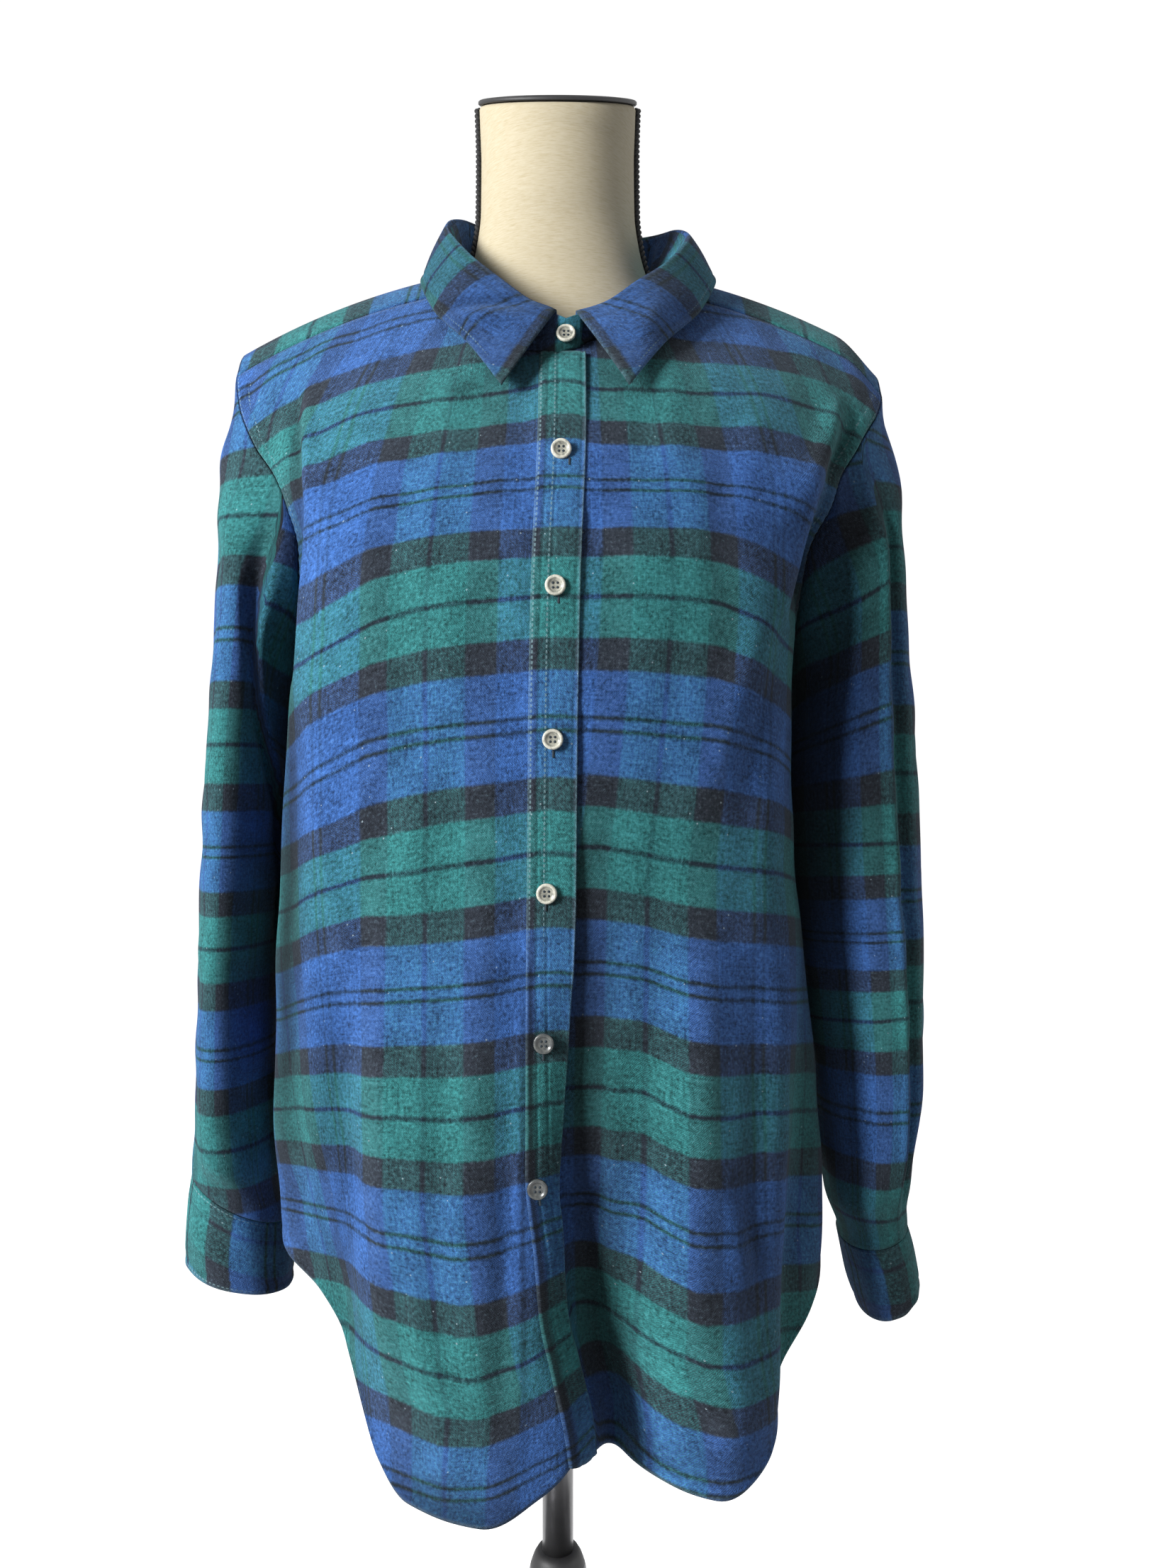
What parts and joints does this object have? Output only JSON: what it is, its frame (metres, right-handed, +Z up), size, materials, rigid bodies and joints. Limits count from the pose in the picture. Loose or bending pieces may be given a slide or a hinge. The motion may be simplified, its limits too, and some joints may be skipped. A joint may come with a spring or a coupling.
{
  "type": "button-front flannel shirt on a dress form stand",
  "caption": "Long-sleeved plaid flannel shirt with a pointed collar, front placket and curved hem, worn by a limbless linen dress form on a pole and flared base.",
  "frame": {"origin": "centre of the base's underside, on the floor", "axes": "+Z up the pole, the front of the shirt faces -Y, the wearer's left is +X"},
  "size_m": [0.5248, 0.32, 1.2159],
  "materials": {
    "flannel": "brushed plaid flannel",
    "flannel_trim": "brushed plaid flannel",
    "buttons": "pearly gloss",
    "linen": "smooth linen cover",
    "braid": "woven braid",
    "black_trim": "matte",
    "steel": "brushed"
  },
  "bodies": {
    "root": {"front_right": "flannel", "front_left": "flannel", "back": "flannel", "sleeve_right": "flannel", "sleeve_left": "flannel", "collar_leaf": "flannel", "yoke": "flannel_trim", "placket": "flannel_trim", "cuff_right": "flannel_trim", "cuff_left": "flannel_trim", "collar_stand": "flannel_trim", "button_1": "buttons", "button_2": "buttons", "button_3": "buttons", "button_4": "buttons", "button_5": "buttons", "button_6": "buttons", "button_7": "buttons", "cuff_button_right": "buttons", "cuff_button_left": "buttons", "form_torso": "linen", "neck_cap": "black_trim", "neck_braid_right": "braid", "neck_braid_left": "braid", "pole": "steel", "base_ring": "black_trim", "base": "steel"}
  },
  "joints": []
}
